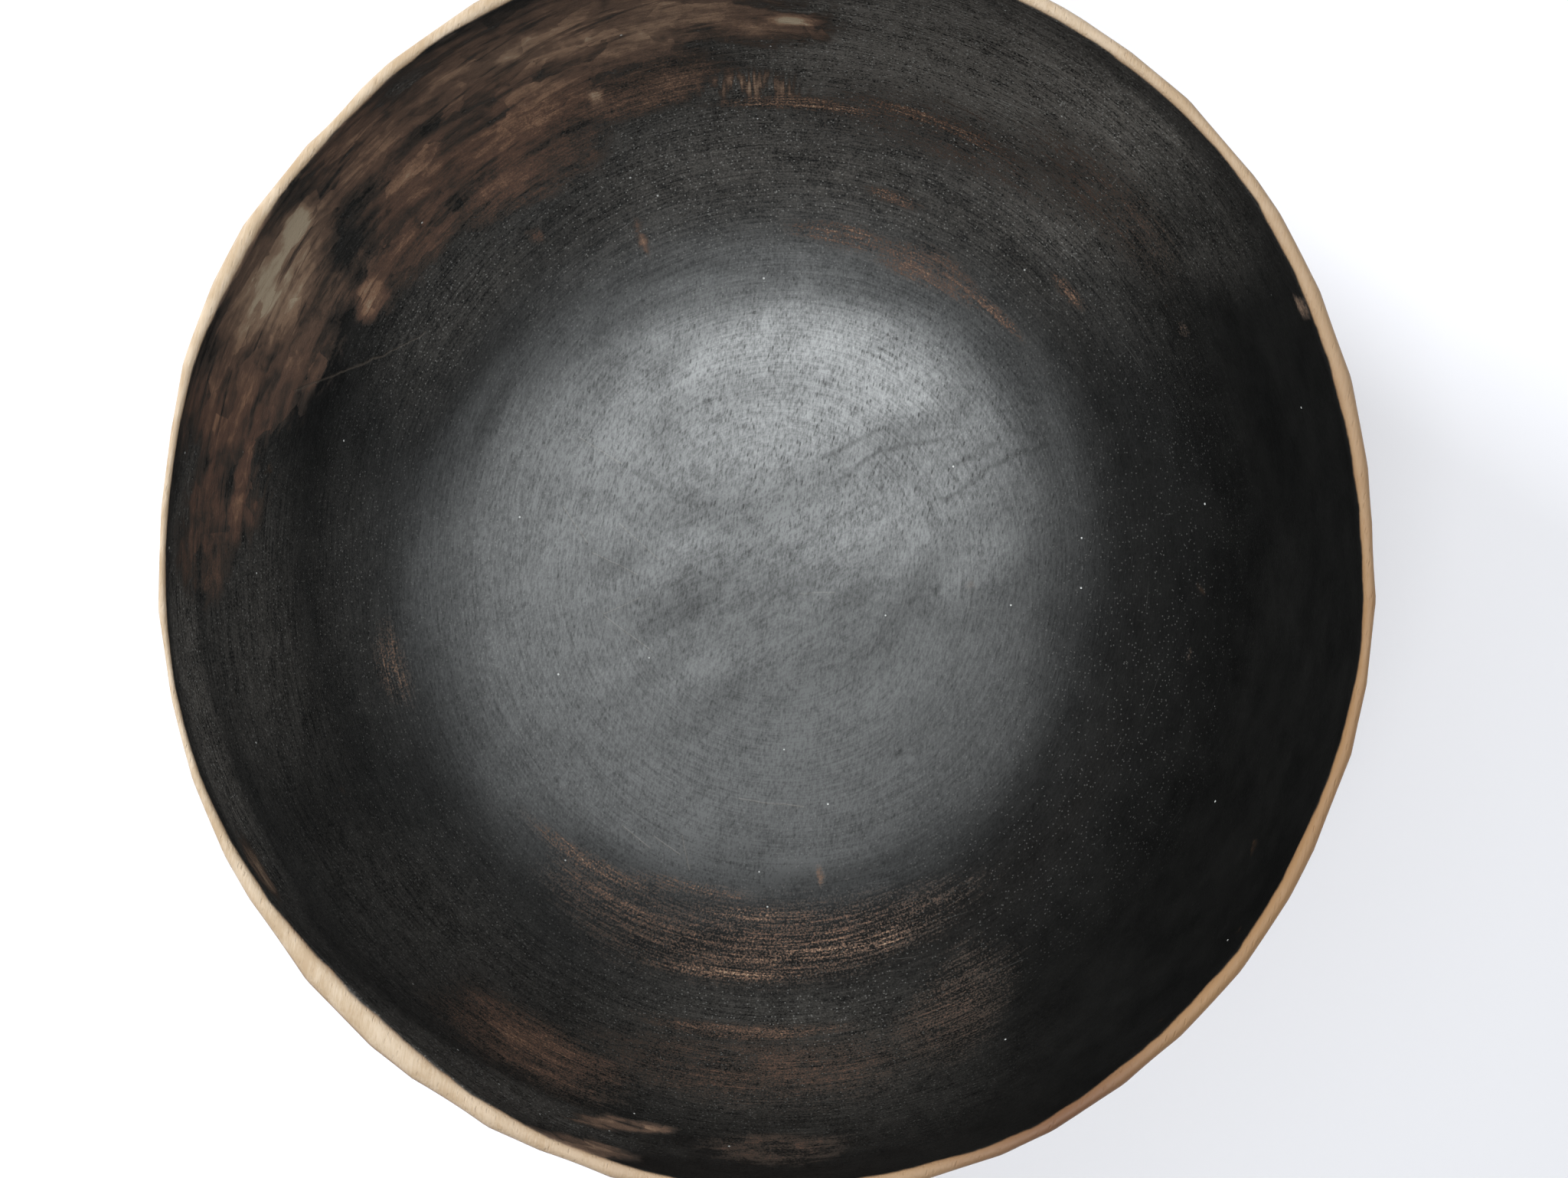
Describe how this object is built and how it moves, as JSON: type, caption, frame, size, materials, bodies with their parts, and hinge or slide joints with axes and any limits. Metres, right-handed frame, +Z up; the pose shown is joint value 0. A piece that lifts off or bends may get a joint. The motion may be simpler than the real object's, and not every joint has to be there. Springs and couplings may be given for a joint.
{
  "type": "wooden bowl",
  "caption": "Deep oval bowl hewn from one block of wood, with a blackened hollow, a bare knife-cut rim, a hewn outside and a flat foot.",
  "frame": {"origin": "middle of the flat foot, on the surface that the bowl stands on", "axes": "+Z up out of the bowl's mouth, +Y along the grain and the oval's long way, +X across the grain"},
  "size_m": [0.3193, 0.3349, 0.1491],
  "materials": {
    "bowl_wood": "blackened satin in the hollow, bare wood on the rim and the outside"
  },
  "bodies": {
    "root": {"bowl": "bowl_wood"}
  },
  "joints": []
}
